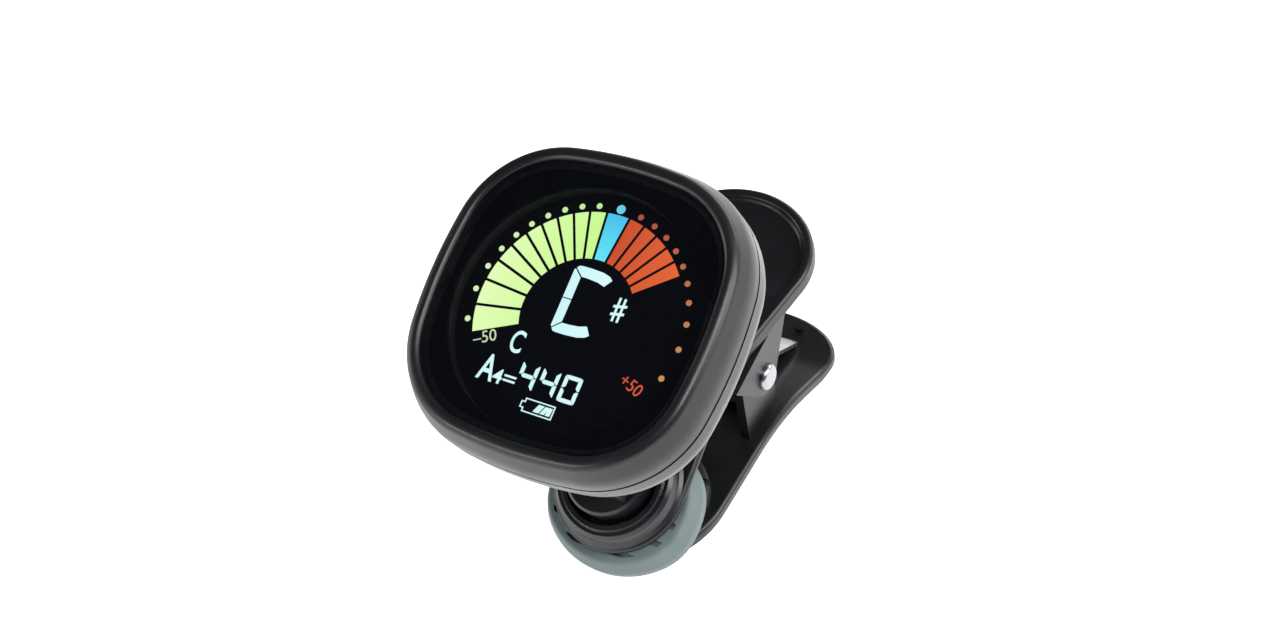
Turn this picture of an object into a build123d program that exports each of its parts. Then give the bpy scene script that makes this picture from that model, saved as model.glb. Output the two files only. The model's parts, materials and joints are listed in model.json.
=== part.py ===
"""Clip-on instrument tuner, lying on its rear clip arm.

Millimetres, +Z up. The origin is the centre of the rear jaw pad's gripping face. The pivot pin
lies along X. The clip handles point towards +Y, and the display faces up and towards -Y.
"""
from math import cos, radians, sin, sqrt, tan
import os

from build123d import *

# ---- driving dimensions -----------------------------------------------------------------------
running_clearance = 0.05      # radial, for every shaft that turns in a hole
sliding_clearance = 0.15      # round a button and round a socket in its cut-out
cutting_margin = 3.0          # how far a solid runs past the outline that trims it

# rear arm, which the tuner lies on
rear_jaw_angle = 7.0          # rise of the rear jaw towards the pin
rear_arm_thickness = 2.2
arm_edge_radius = 0.7
arm_bend_drop = 0.8           # how far the bend's arc passes under its corner
rear_jaw_reach = 10.8         # from the grip centre to the jaw's tip
rear_jaw_half_width = 11.5
rear_tip_length = 13.5        # length of the jaw's rounded tip
rear_bend = 22.0              # where the arm turns down to its handle
rear_bend_radius = 36.0
rear_handle_slope = 16.5      # fall of the arm behind that bend
rear_foot_radius = 12.0       # where the handle meets the surface it lies on
rear_handle_reach = 25.6      # from the pin to the handle's tip
rear_handle_half_width = 12.4
rear_handle_tip_length = 7.5
rear_pad_radius = 9.5
rear_pad_thickness = 1.8
rear_pad_edge = 0.6

# pivot pin and the ears that it joins
pin_radius = 1.5
pin_y = 19.9                  # from the grip centre
pin_z = 10.4
pin_head_radius = 2.1
pin_head_height = 0.9
pin_head_dome = 0.72
pin_tail = 0.4                # past the retainer
retainer_radius = 2.3
retainer_thickness = 0.6
retainer_chamfer = 0.2
ear_thickness = 1.5
ear_gap = 0.2                 # between a front ear and the rear ear beside it
ear_outer_face = 11.4         # half the width over the front arm's ears
front_ear_radius = 3.3
front_ear_foot = (-7.5, 10.5)  # where the front ear meets its handle, each way from the pin
rear_ear_radius = 4.6

# front arm: a round jaw that carries the swivel, and a long thumb paddle
closed_gap = 0.35             # between the two pads at the rear pad's tip
front_jaw_angle = 29.0
swivel_from_contact = 7.6     # along the front jaw, from the pads' contact to the swivel axis
jaw_disc_thickness = 1.5
jaw_disc_margin = 0.5         # round the socket ring's foot
front_handle_angle = 13.0
front_standoff = 6.25         # from the pin's axis to the handle's rear face
front_handle_reach = 26.2     # from the pin to the paddle's tip
front_handle_thickness = 3.0
paddle_half_width = 13.6
paddle_tip_length = 12.0
paddle_rim = 1.6
dish_depth = 1.3              # of the thumb dish in the paddle, at its middle
dish_lip = 0.9                # and at the paddle's tip
dish_length = 17.5
dish_floor_radius = 0.8
dish_rim_radius = 0.5
front_pad_half_width = 12.5
front_pad_half_length = 11.2
front_pad_bow = 14.0
front_pad_corner = 8.8
front_pad_thickness = 5.3
front_pad_flare = 1.1         # how much narrower the pad is at the jaw than at its grip
front_pad_flare_height = 2.6
front_pad_shift = 2.0         # the pad's centre lies nearer the tip than the swivel axis
pad_groove_pitch = 3.2
pad_groove_width = 0.9
pad_groove_depth = 0.6
rear_pad_grooves = 4
front_pad_grooves = 6
pad_rim = 0.9                 # left plain round the front pad's grooves
pad_grip_edge = 1.4
pad_back_edge = 0.6
pad_pocket_clearance = 0.3    # round the swivel's retaining disc
pad_pocket_gap = 0.55         # over the swivel screw's head

# leaf spring between the arms
spring_thickness = 0.7
spring_half_width = 5.8
spring_bend_radius = 1.6
spring_seat_gap = 0.05        # between a spring foot and the handle that it presses on
spring_web_gap = 0.4          # between the spring's web and the rear arm
spring_shoulder = (0.5, 2.3)  # where the front leaf turns down, past the pin's surface
spring_bow = (-1.6, -0.7)     # where the spring passes round the pin, past its surface
spring_web_start = 1.1
spring_web_end = (10.3, 1.6)
front_foot_reach = 15.8       # from the pin to the spring's front foot
rear_foot_reach = 19.1
spring_stop_reach = 22.8      # from the pin to the nubs that stop the rear foot
spring_stop_offset = 4.6
spring_stop_radius = 0.9
spring_stop_height = 0.7

# swivel: socket ring on the front jaw, and the hub that turns in it
socket_mouth_gap = 0.9        # round the hub
socket_step_width = 1.6
socket_foot_width = 1.3
socket_step_height = 2.5
socket_height = 2.9
socket_step_taper = 0.5
socket_cap_height = 0.6
socket_lip = 0.9
socket_edge = 0.15
hub_radius = 6.4
hub_height = 5.5
hub_edge = 0.4
hub_spigot_radius = 3.4
bearing_washer_thickness = 0.3
retaining_disc_radius = 5.0
retaining_disc_thickness = 0.6
swivel_screw_radius = 1.0
swivel_screw_head_radius = 2.0
swivel_screw_head_height = 1.1
swivel_screw_length = 5.0

# tilt hinge between the hub and the head
tilt_height = 14.0            # from the front jaw's face to the tilt axis
tilt_pin_radius = 1.0
tilt_knuckle_radius = 3.2
lug_half_width = 1.7
fork_gap = 0.15
fork_ear_thickness = 2.9
tilt_pin_head_radius = 1.7
tilt_pin_head_height = 0.5

# head
head_angle = 26.0             # the display's tilt from level
head_half_width = 23.6
head_half_height = 23.4
head_bow_radius = 67.0
head_corner_radius = 16.2
head_above_tilt = 15.95       # from the tilt axis to the head's centre, along the display
lug_length = 8.8              # from the tilt axis to the back of the rear case
shell_wall = 1.6
battery_gap = 0.9             # between the main board and the battery
shell_split = 2.1             # from the display plane to the joint between the shells
seam_width = 0.5
seam_depth = 0.6
rear_edge_radius = 5.2
rear_inner_radius = 1.5
bezel_crest = 3.8             # above the display plane
bezel_width = 3.2
bezel_lean = 1.4              # how far the bezel's side leans in, from the display to the crest
bezel_shoulder_roll = 6.0
bezel_outer_roll = 1.4
bezel_inner_roll = 0.8
lens_ledge = 1.0
lens_ledge_thickness = 0.6
lens_thickness = 0.8
lens_recess = 0.5             # from the bezel's crest down to the lens
mask_thickness = 0.1
lens_clearance = 0.1
window_radius = 18.1
window_below_centre = 0.65
lcd_margin = 0.3              # how far the display's glass reaches past the window
lcd_corner = 15.0
lcd_thickness = 1.4
backlight_thickness = 1.0
backlight_inset = 0.5
lcd_clearance = 0.1
board_thickness = 1.0
board_clearance = 0.3
board_gap = 0.2               # between the backlight and the board
frame_clearance = 0.3         # round the display frame, to the shell and to its bosses
battery_size = (26.0, 18.0, 3.4)
battery_centre = (0.0, 5.5)
battery_edge = 0.8
sensor_radius = 6.0
sensor_thickness = 0.4
sensor_below_centre = 12.5
chip_size = (6.0, 6.0, 0.9)
chip_spots = ((-8.0, -9.0), (8.0, -9.0))
case_screw_inset = 7.1        # from the head's sides
case_screw_radius = 0.8
case_screw_reach = 3.3        # into the bosses under the bezel
screw_clearance = 0.15
screw_recess_width = 0.35     # the cross in a screw's head
screw_recess_depth = 0.35
case_screw_head_radius = 1.4
case_screw_head_height = 0.9
case_screw_sink = 2.3         # from the back to the top of the screw's head
boss_radius = 1.8             # round the screws, under the bezel
rear_boss_radius = 2.4
bracket_half_width = 7.4
bracket_half_height = 4.4
bracket_thickness = 1.2
bracket_corner = 1.5
bracket_screw_offset = 5.2
bracket_screw_radius = 0.7
bracket_screw_head_radius = 1.2
bracket_screw_head_height = 0.6
bracket_screw_length = 2.2

# buttons on the head's top edge, and the charging socket on its left edge
button_offset = 6.0
button_half_width = 3.0
button_height = 1.9
button_depth_centre = 4.65    # behind the display plane
button_corner = 0.8
button_edge = 0.25
button_proud = 0.7
button_travel = 0.35
button_flange = 0.9           # how far the button's flange reaches past its hole
button_flange_thickness = 0.7
switch_size = (4.0, 1.8, 1.5)
switch_gap = 0.05             # between a pressed button and its switch's body
socket_width = 8.94           # charging socket, outside its metal shell
socket_height_outside = 3.16
socket_depth = 7.3
socket_wall = 0.3
socket_tongue = (6.7, 0.7)
socket_tongue_sink = 0.9      # from the socket's mouth to its tongue
socket_sink = 0.8             # from the head's side to the socket's mouth
socket_y = 2.0


# ---- places worked out from those dimensions --------------------------------------------------
def leaning_plane(y, z, angle):
    """A plane through (0, y, z) whose own Y rises by angle towards +Y, and whose X is level."""
    return Plane(
        origin=(0, y, z),
        x_dir=(1, 0, 0),
        z_dir=(0, -sin(radians(angle)), cos(radians(angle))),
    )


def side_point(plane, along, above):
    """The (Y, Z) of a point on the middle plane, given along and above in a leaning plane."""
    point = plane.from_local_coords(Vector(0, along, above))
    return point.Y, point.Z


rear_jaw_plane = leaning_plane(0, 0, rear_jaw_angle)
pin_plane = leaning_plane(pin_y, pin_z, front_handle_angle)
contact_y, contact_z = side_point(rear_jaw_plane, -rear_pad_radius, closed_gap)
front_grip_plane = leaning_plane(contact_y, contact_z, front_jaw_angle)
jaw_rise = front_pad_thickness + jaw_disc_thickness
socket_mouth_radius = hub_radius + socket_mouth_gap
socket_step_radius = socket_mouth_radius + socket_step_width
socket_foot_radius = socket_step_radius + socket_foot_width
jaw_disc_radius = socket_foot_radius + jaw_disc_margin
jaw_plane = leaning_plane(
    *side_point(front_grip_plane, swivel_from_contact, jaw_rise), front_jaw_angle
)
tilt_y, tilt_z = side_point(jaw_plane, 0, tilt_height)
tilt_plane = leaning_plane(tilt_y, tilt_z, head_angle)

lcd_half_size = window_radius + lcd_margin
lens_back = bezel_crest - lens_recess - lens_thickness
mask_back = lens_back - mask_thickness
ledge_back = lens_back - lens_ledge_thickness
backlight_back = -lcd_thickness - backlight_thickness
board_front = backlight_back - board_gap
board_back = board_front - board_thickness
case_floor = board_back - battery_gap - battery_size[2]
case_depth = shell_wall - case_floor
head_plane = leaning_plane(
    *side_point(tilt_plane, head_above_tilt, lug_length + case_depth), head_angle
)
jaw_tip_y, floor_z = side_point(
    rear_jaw_plane, -rear_jaw_reach, -rear_pad_thickness - rear_arm_thickness
)

front_ear_inner = ear_outer_face - ear_thickness
rear_ear_outer = front_ear_inner - ear_gap
handle_axis = Axis(pin_plane.origin, pin_plane.z_dir)
jaw_axis = Axis(jaw_plane.origin, jaw_plane.z_dir)
head_axis = Axis(head_plane.origin, head_plane.z_dir)
head_up = Axis(head_plane.origin, head_plane.y_dir)


# ---- shared shapes ----------------------------------------------------------------------------
def bowed_square(half_width, half_height, bow, corner):
    """A square with four outward-bowed sides and rounded corners."""
    with BuildSketch() as outline:
        with Locations((half_width - bow, 0)):
            Circle(bow)
        for centre in ((bow - half_width, 0), (0, half_height - bow), (0, bow - half_height)):
            with Locations(centre):
                Circle(bow, mode=Mode.INTERSECT)
        fillet(outline.vertices(), corner)
    return outline.sketch


def head_outline(inset=0.0):
    """The head's outline, moved inwards by inset."""
    return bowed_square(
        head_half_width - inset,
        head_half_height - inset,
        head_bow_radius - inset,
        head_corner_radius - inset,
    )


def head_level(height):
    """The head's plane, raised above the display plane by height."""
    return head_plane.offset(height)


def screw_cross(head_radius):
    """The cross recess in a screw's head."""
    with BuildSketch() as cross:
        Rectangle(1.3 * head_radius, screw_recess_width)
        Rectangle(screw_recess_width, 1.3 * head_radius)
    return cross.sketch


def crossing(plane_a, above_a, plane_b, above_b):
    """The (Y, Z) where a line above one leaning plane crosses a line above another."""
    y_a, z_a = side_point(plane_a, 0, above_a)
    y_b, z_b = side_point(plane_b, 0, above_b)
    along_a = plane_a.y_dir
    along_b = plane_b.y_dir
    across = along_a.Y * along_b.Z - along_a.Z * along_b.Y
    step = ((y_b - y_a) * along_b.Z - (z_b - z_a) * along_b.Y) / across
    return y_a + step * along_a.Y, z_a + step * along_a.Z


screw_spots = [
    (x * (head_half_width - case_screw_inset), y * (head_half_height - case_screw_inset))
    for x in (-1, 1)
    for y in (-1, 1)
]
bracket_y = -head_above_tilt
bracket_spots = [(-bracket_screw_offset, bracket_y), (bracket_screw_offset, bracket_y)]

# ---- rear arm ---------------------------------------------------------------------------------
half_arm = rear_arm_thickness / 2
jaw_start = side_point(
    rear_jaw_plane, -rear_jaw_reach - cutting_margin, -rear_pad_thickness - half_arm
)
bend_z = jaw_start[1] + (rear_bend - jaw_start[0]) * tan(radians(rear_jaw_angle))
lying_z = floor_z + half_arm
landing_y = rear_bend + (bend_z - lying_z) / tan(radians(rear_handle_slope))
rear_tip_y = pin_y + rear_handle_reach

with BuildPart() as rear_arm:
    with BuildSketch(Plane.YZ) as arm_profile:
        with BuildLine():
            FilletPolyline(
                jaw_start,
                (rear_bend, bend_z),
                (landing_y, lying_z),
                (rear_tip_y + cutting_margin, lying_z),
                radius=[rear_bend_radius, rear_foot_radius],
            )
        trace(line_width=rear_arm_thickness)
    extrude(amount=rear_handle_half_width, both=True)
    with BuildSketch(Plane.XY.offset(floor_z - 1)) as arm_plan:
        with Locations((0, jaw_tip_y + rear_tip_length)):
            Ellipse(rear_jaw_half_width, rear_tip_length)
        with Locations((0, rear_tip_y - rear_handle_tip_length)):
            Ellipse(rear_handle_half_width, rear_handle_tip_length)
        make_hull()
    extrude(amount=3 * pin_z, mode=Mode.INTERSECT)
    fillet(rear_arm.edges(), arm_edge_radius)
    for side in (-1, 1):
        with BuildSketch(Plane.YZ.offset(side * rear_ear_outer)):
            with Locations((pin_y, pin_z)):
                Circle(rear_ear_radius)
            with Locations((pin_y, (pin_z + bend_z) / 2)):
                Rectangle(2 * rear_ear_radius, pin_z - bend_z)
        extrude(amount=-side * ear_thickness)
    with BuildSketch(Plane.YZ):
        with Locations((pin_y, pin_z)):
            Circle(pin_radius)
    extrude(amount=ear_outer_face, both=True, mode=Mode.SUBTRACT)
    with BuildSketch(Plane.XY.offset(lying_z)):
        with Locations(
            (-spring_stop_offset, pin_y + spring_stop_reach),
            (spring_stop_offset, pin_y + spring_stop_reach),
        ):
            Circle(spring_stop_radius)
    extrude(amount=half_arm + spring_stop_height)
rear_arm.part.label = "rear_arm"

with BuildPart() as rear_pad:
    with BuildSketch(rear_jaw_plane):
        Circle(rear_pad_radius)
    extrude(amount=-rear_pad_thickness)
    fillet(rear_pad.edges().sort_by(Axis(rear_jaw_plane.origin, rear_jaw_plane.z_dir))[-1], rear_pad_edge)
    with BuildSketch(rear_jaw_plane):
        with GridLocations(0, pad_groove_pitch, 1, rear_pad_grooves):
            Rectangle(2 * rear_pad_radius, pad_groove_width)
    extrude(amount=-pad_groove_depth, mode=Mode.SUBTRACT)
rear_pad.part.label = "rear_pad"

# ---- pivot pin, its retainer and the spring ---------------------------------------------------
with BuildPart() as pivot_pin:
    with BuildSketch(Plane.YZ.offset(-ear_outer_face - retainer_thickness - pin_tail)):
        with Locations((pin_y, pin_z)):
            Circle(pin_radius)
    extrude(amount=2 * ear_outer_face + retainer_thickness + pin_tail + running_clearance)
    with BuildSketch(Plane.YZ.offset(ear_outer_face + running_clearance)):
        with Locations((pin_y, pin_z)):
            Circle(pin_head_radius)
    extrude(amount=pin_head_height)
    fillet(pivot_pin.edges().sort_by(Axis.X)[-1], pin_head_dome)
pivot_pin.part.label = "pivot_pin"

with BuildPart() as pin_retainer:
    with BuildSketch(Plane.YZ.offset(-ear_outer_face - running_clearance)):
        with Locations((pin_y, pin_z)):
            Circle(retainer_radius)
            Circle(pin_radius, mode=Mode.SUBTRACT)
    extrude(amount=-retainer_thickness)
    chamfer(pin_retainer.edges().group_by(Axis.X)[0].sort_by(SortBy.RADIUS)[-1], retainer_chamfer)
pin_retainer.part.label = "pin_retainer"

half_leaf = spring_thickness / 2
web_low = bend_z + half_arm + half_leaf + spring_web_gap - arm_bend_drop
with BuildPart() as clip_spring:
    with BuildSketch(Plane.YZ):
        with BuildLine():
            FilletPolyline(
                side_point(
                    pin_plane, front_foot_reach, front_standoff - half_leaf - spring_seat_gap
                ),
                side_point(pin_plane, spring_shoulder[0], pin_radius + spring_shoulder[1]),
                (pin_y - pin_radius + spring_bow[0], pin_z - pin_radius + spring_bow[1]),
                (pin_y + spring_web_start, web_low),
                (pin_y + spring_web_end[0], web_low + spring_web_end[1]),
                (
                    pin_y + rear_foot_reach,
                    floor_z + rear_arm_thickness + half_leaf + spring_seat_gap,
                ),
                radius=spring_bend_radius,
            )
        trace(line_width=spring_thickness)
    extrude(amount=spring_half_width, both=True)
clip_spring.part.label = "clip_spring"

# ---- front arm --------------------------------------------------------------------------------
front_face = front_standoff + front_handle_thickness
back_bend = crossing(jaw_plane, -jaw_disc_thickness, pin_plane, front_standoff)
front_bend = crossing(jaw_plane, 0, pin_plane, front_face)


def paddle_outline(inset=0.0):
    """The handle's outline: a neck as wide as the jaw, widening into a rounded paddle."""
    with BuildSketch() as outline:
        with Locations((0, front_handle_reach - paddle_tip_length)):
            Ellipse(paddle_half_width - inset, paddle_tip_length - inset)
        Rectangle(2 * (jaw_disc_radius - inset), jaw_disc_thickness)
        make_hull()
        with Locations((0, -front_handle_reach / 2)):
            Rectangle(2 * (jaw_disc_radius - inset), front_handle_reach)
    return outline.sketch


dish_start = front_handle_reach - dish_length
dish_end = front_handle_reach - paddle_rim / 2
with BuildPart() as thumb_dish:
    with BuildSketch(Plane.YZ):
        with BuildLine():
            ThreePointArc(
                side_point(pin_plane, dish_start, front_face),
                side_point(pin_plane, (dish_start + dish_end) / 2, front_face - dish_depth),
                side_point(pin_plane, dish_end, front_face - dish_lip),
            )
            Polyline(
                side_point(pin_plane, dish_end, front_face - dish_lip),
                side_point(pin_plane, dish_end, front_face + cutting_margin),
                side_point(pin_plane, dish_start, front_face + cutting_margin),
                side_point(pin_plane, dish_start, front_face),
            )
        make_face()
    extrude(amount=paddle_half_width, both=True)
    with BuildSketch(pin_plane):
        add(paddle_outline(paddle_rim))
    extrude(amount=2 * front_face, mode=Mode.INTERSECT)
    dish_floor = thumb_dish.faces().filter_by(GeomType.CYLINDER).sort_by(handle_axis)[0]
    fillet(dish_floor.edges() - dish_floor.edges().filter_by(Axis.X), dish_floor_radius)

with BuildPart() as front_arm:
    with BuildSketch(Plane.YZ):
        with BuildLine():
            Polyline(
                back_bend,
                side_point(pin_plane, front_handle_reach + cutting_margin, front_standoff),
                side_point(pin_plane, front_handle_reach + cutting_margin, front_face),
                front_bend,
                close=True,
            )
        make_face()
    extrude(amount=paddle_half_width + cutting_margin, both=True)
    with BuildSketch(pin_plane):
        add(paddle_outline())
    extrude(amount=2 * front_face, mode=Mode.INTERSECT)
    with BuildSketch(Plane.YZ):
        with BuildLine():
            Polyline(
                side_point(jaw_plane, 0, -jaw_disc_thickness),
                back_bend,
                front_bend,
                side_point(jaw_plane, 0, 0),
                close=True,
            )
        make_face()
    extrude(amount=jaw_disc_radius, both=True)
    with BuildSketch(jaw_plane):
        Circle(jaw_disc_radius)
    extrude(amount=-jaw_disc_thickness)
    fillet(front_arm.edges(), arm_edge_radius)
    add(thumb_dish.part, mode=Mode.SUBTRACT)
    rim_edges = front_arm.edges(Select.LAST).filter_by_position(
        handle_axis, front_face - dish_rim_radius / 10, front_face + dish_rim_radius / 10
    )
    fillet(rim_edges, dish_rim_radius)
    for side in (-1, 1):
        with BuildSketch(Plane.YZ.offset(side * ear_outer_face)):
            with Locations((pin_y, pin_z)):
                Circle(front_ear_radius)
            with BuildLine():
                Line(
                    side_point(pin_plane, front_ear_foot[0], front_standoff),
                    side_point(pin_plane, front_ear_foot[1], front_standoff),
                )
            make_hull()
        extrude(amount=-side * ear_thickness)
    with BuildSketch(Plane.YZ):
        with Locations((pin_y, pin_z)):
            Circle(pin_radius + running_clearance)
    extrude(amount=2 * ear_outer_face, both=True, mode=Mode.SUBTRACT)
    with BuildSketch(jaw_plane):
        Circle(hub_spigot_radius + running_clearance)
    extrude(amount=-jaw_disc_thickness, mode=Mode.SUBTRACT)
front_arm.part.label = "front_arm"

pad_back = -jaw_disc_thickness
pad_shoulder = pad_back - front_pad_flare_height
pad_grip = pad_back - front_pad_thickness
pad_pocket_depth = (
    running_clearance + retaining_disc_thickness + swivel_screw_head_height + pad_pocket_gap
)


def front_pad_outline(inset=0.0):
    """The front pad's outline, set towards the jaw's tip from the swivel's axis."""
    with BuildSketch() as outline:
        with Locations((0, -front_pad_shift)):
            add(
                bowed_square(
                    front_pad_half_width - inset,
                    front_pad_half_length - inset,
                    front_pad_bow - inset,
                    front_pad_corner - inset,
                )
            )
    return outline.sketch


def front_pad_ribs(inset):
    """The grooves across a face of the front pad, which stop before that face's rim."""
    with BuildSketch() as grooves:
        with Locations((0, -front_pad_shift)):
            with GridLocations(0, pad_groove_pitch, 1, front_pad_grooves):
                Rectangle(2 * front_pad_half_width, pad_groove_width)
        add(front_pad_outline(inset + pad_rim), mode=Mode.INTERSECT)
    return grooves.sketch


with BuildPart() as front_pad:
    with BuildSketch(jaw_plane.offset(pad_back)):
        add(front_pad_outline(front_pad_flare))
    with BuildSketch(jaw_plane.offset(pad_shoulder)):
        add(front_pad_outline())
    loft()
    with BuildSketch(jaw_plane.offset(pad_shoulder)):
        add(front_pad_outline())
    extrude(amount=pad_grip - pad_shoulder)
    fillet(front_pad.faces().sort_by(jaw_axis)[0].edges(), pad_grip_edge)
    fillet(front_pad.faces().sort_by(jaw_axis)[-1].edges(), pad_back_edge)
    with BuildSketch(jaw_plane.offset(pad_grip)):
        add(front_pad_ribs(pad_grip_edge))
    extrude(amount=pad_groove_depth, mode=Mode.SUBTRACT)
    with BuildSketch(jaw_plane.offset(pad_back)):
        add(front_pad_ribs(front_pad_flare))
    extrude(amount=-pad_groove_depth, mode=Mode.SUBTRACT)
    with BuildSketch(jaw_plane.offset(pad_back)):
        Circle(retaining_disc_radius + pad_pocket_clearance)
    extrude(amount=-pad_pocket_depth, mode=Mode.SUBTRACT)
front_pad.part.label = "front_pad"

# ---- swivel -----------------------------------------------------------------------------------
jaw_section = Plane(
    origin=jaw_plane.origin, x_dir=jaw_plane.x_dir, z_dir=jaw_plane.y_dir.reverse()
)
hub_base = bearing_washer_thickness + running_clearance
disc_top = -jaw_disc_thickness - running_clearance
fork_inner = lug_half_width + fork_gap
fork_outer = fork_inner + fork_ear_thickness

with BuildPart() as socket_ring:
    with BuildSketch(jaw_section):
        with BuildLine():
            Polyline(
                (socket_mouth_radius, 0),
                (socket_foot_radius, 0),
                (socket_foot_radius - socket_step_taper, socket_step_taper),
                (socket_step_radius + socket_step_taper, socket_step_height - socket_cap_height),
                (socket_step_radius, socket_step_height),
                (socket_mouth_radius + socket_lip, socket_step_height),
                (socket_mouth_radius + socket_lip, socket_height),
                (socket_mouth_radius, socket_height),
                close=True,
            )
        make_face()
    revolve(axis=jaw_axis)
    fillet(socket_ring.edges().group_by(jaw_axis)[1:], socket_edge)
socket_ring.part.label = "socket_ring"

with BuildPart() as swivel_washer:
    with BuildSketch(jaw_plane):
        Circle(hub_radius)
        Circle(hub_spigot_radius + sliding_clearance, mode=Mode.SUBTRACT)
    extrude(amount=bearing_washer_thickness)
swivel_washer.part.label = "swivel_washer"

with BuildPart() as swivel_hub:
    with BuildSketch(jaw_plane.offset(hub_base)):
        Circle(hub_radius)
    extrude(amount=hub_height - hub_base)
    chamfer(swivel_hub.edges().sort_by(jaw_axis)[-1], hub_edge)
    for side in (-1, 1):
        with BuildSketch(Plane.YZ.offset(side * fork_outer)):
            with Locations((tilt_y, tilt_z)):
                Circle(tilt_knuckle_radius)
            with BuildLine():
                Line(
                    side_point(jaw_plane, -tilt_knuckle_radius, hub_base),
                    side_point(jaw_plane, tilt_knuckle_radius, hub_base),
                )
            make_hull()
        extrude(amount=-side * fork_ear_thickness)
    with BuildSketch(jaw_plane.offset(hub_base)):
        Circle(hub_spigot_radius)
    extrude(amount=disc_top - hub_base)
    with BuildSketch(Plane.YZ):
        with Locations((tilt_y, tilt_z)):
            Circle(tilt_pin_radius)
    extrude(amount=fork_outer, both=True, mode=Mode.SUBTRACT)
    with BuildSketch(jaw_plane.offset(disc_top)):
        Circle(swivel_screw_radius)
    extrude(amount=swivel_screw_length - retaining_disc_thickness, mode=Mode.SUBTRACT)
swivel_hub.part.label = "swivel_hub"

with BuildPart() as retaining_disc:
    with BuildSketch(jaw_plane.offset(disc_top)):
        Circle(retaining_disc_radius)
        Circle(swivel_screw_radius, mode=Mode.SUBTRACT)
    extrude(amount=-retaining_disc_thickness)
retaining_disc.part.label = "retaining_disc"

with BuildPart() as swivel_screw:
    with BuildSketch(jaw_plane.offset(disc_top - retaining_disc_thickness)):
        Circle(swivel_screw_radius)
    extrude(amount=swivel_screw_length)
    with BuildSketch(jaw_plane.offset(disc_top - retaining_disc_thickness)):
        Circle(swivel_screw_head_radius)
    extrude(amount=-swivel_screw_head_height)
    with BuildSketch(
        jaw_plane.offset(disc_top - retaining_disc_thickness - swivel_screw_head_height)
    ):
        add(screw_cross(swivel_screw_head_radius))
    extrude(amount=screw_recess_depth, mode=Mode.SUBTRACT)
swivel_screw.part.label = "swivel_screw"

# ---- tilt hinge -------------------------------------------------------------------------------
with BuildPart() as tilt_pin:
    with BuildSketch(Plane.YZ):
        with Locations((tilt_y, tilt_z)):
            Circle(tilt_pin_radius)
    extrude(amount=fork_outer, both=True)
    for side in (-1, 1):
        with BuildSketch(Plane.YZ.offset(side * fork_outer)):
            with Locations((tilt_y, tilt_z)):
                Circle(tilt_pin_head_radius)
        extrude(amount=side * tilt_pin_head_height)
tilt_pin.part.label = "tilt_pin"

plate_front = lug_length - bracket_thickness
with BuildPart() as head_bracket:
    with BuildSketch(tilt_plane.offset(plate_front)):
        RectangleRounded(2 * bracket_half_width, 2 * bracket_half_height, bracket_corner)
    extrude(amount=bracket_thickness)
    with BuildSketch(Plane.YZ):
        with Locations((tilt_y, tilt_z)):
            Circle(tilt_knuckle_radius)
        with BuildLine():
            Line(
                side_point(tilt_plane, -tilt_knuckle_radius, plate_front),
                side_point(tilt_plane, tilt_knuckle_radius, plate_front),
            )
        make_hull()
    extrude(amount=lug_half_width, both=True)
    with BuildSketch(Plane.YZ):
        with Locations((tilt_y, tilt_z)):
            Circle(tilt_pin_radius + running_clearance)
    extrude(amount=lug_half_width, both=True, mode=Mode.SUBTRACT)
    with BuildSketch(tilt_plane.offset(plate_front)):
        with Locations((-bracket_screw_offset, 0), (bracket_screw_offset, 0)):
            Circle(bracket_screw_radius)
    extrude(amount=bracket_thickness, mode=Mode.SUBTRACT)
head_bracket.part.label = "head_bracket"

with BuildPart() as bracket_screws:
    with BuildSketch(tilt_plane.offset(plate_front)):
        with Locations((-bracket_screw_offset, 0), (bracket_screw_offset, 0)):
            Circle(bracket_screw_radius)
    extrude(amount=bracket_screw_length)
    with BuildSketch(tilt_plane.offset(plate_front)):
        with Locations((-bracket_screw_offset, 0), (bracket_screw_offset, 0)):
            Circle(bracket_screw_head_radius)
    extrude(amount=-bracket_screw_head_height)
    with BuildSketch(tilt_plane.offset(plate_front - bracket_screw_head_height)):
        with Locations((-bracket_screw_offset, 0), (bracket_screw_offset, 0)):
            add(screw_cross(bracket_screw_head_radius))
    extrude(amount=screw_recess_depth, mode=Mode.SUBTRACT)
bracket_screws.part.label = "bracket_screws"

# ---- head shells ------------------------------------------------------------------------------
cavity_height = shell_split + ledge_back
with BuildPart() as front_bezel:
    with BuildSketch(head_level(-shell_split)):
        add(head_outline())
    extrude(amount=shell_split)
    with BuildSketch(head_level(0)):
        add(head_outline())
    with BuildSketch(head_level(bezel_crest)):
        add(head_outline(bezel_lean))
    loft()
    shoulder = front_bezel.edges().filter_by_position(
        head_axis, -bezel_crest / 10, bezel_crest / 10
    )
    fillet(shoulder, bezel_shoulder_roll)
    fillet(front_bezel.faces().sort_by(head_axis)[-1].edges(), bezel_outer_roll)
    with BuildSketch(head_level(lens_back)):
        add(head_outline(bezel_width))
    extrude(amount=bezel_crest, mode=Mode.SUBTRACT)
    fillet(front_bezel.faces().sort_by(head_axis)[-1].inner_wires()[0].edges(), bezel_inner_roll)
    with BuildSketch(head_level(ledge_back)):
        add(head_outline(bezel_width + lens_ledge))
    extrude(amount=lens_ledge_thickness, mode=Mode.SUBTRACT)
    with BuildSketch(head_level(-shell_split)):
        add(head_outline(shell_wall))
    extrude(amount=cavity_height, mode=Mode.SUBTRACT)
    with BuildSketch(head_level(-shell_split)):
        with Locations(*screw_spots):
            Circle(boss_radius)
        add(head_outline(shell_wall), mode=Mode.INTERSECT)
    extrude(amount=cavity_height)
    with BuildSketch(head_level(-shell_split)):
        with Locations(*screw_spots):
            Circle(case_screw_radius)
    extrude(amount=case_screw_reach, mode=Mode.SUBTRACT)
front_bezel.part.label = "front_bezel"

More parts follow.
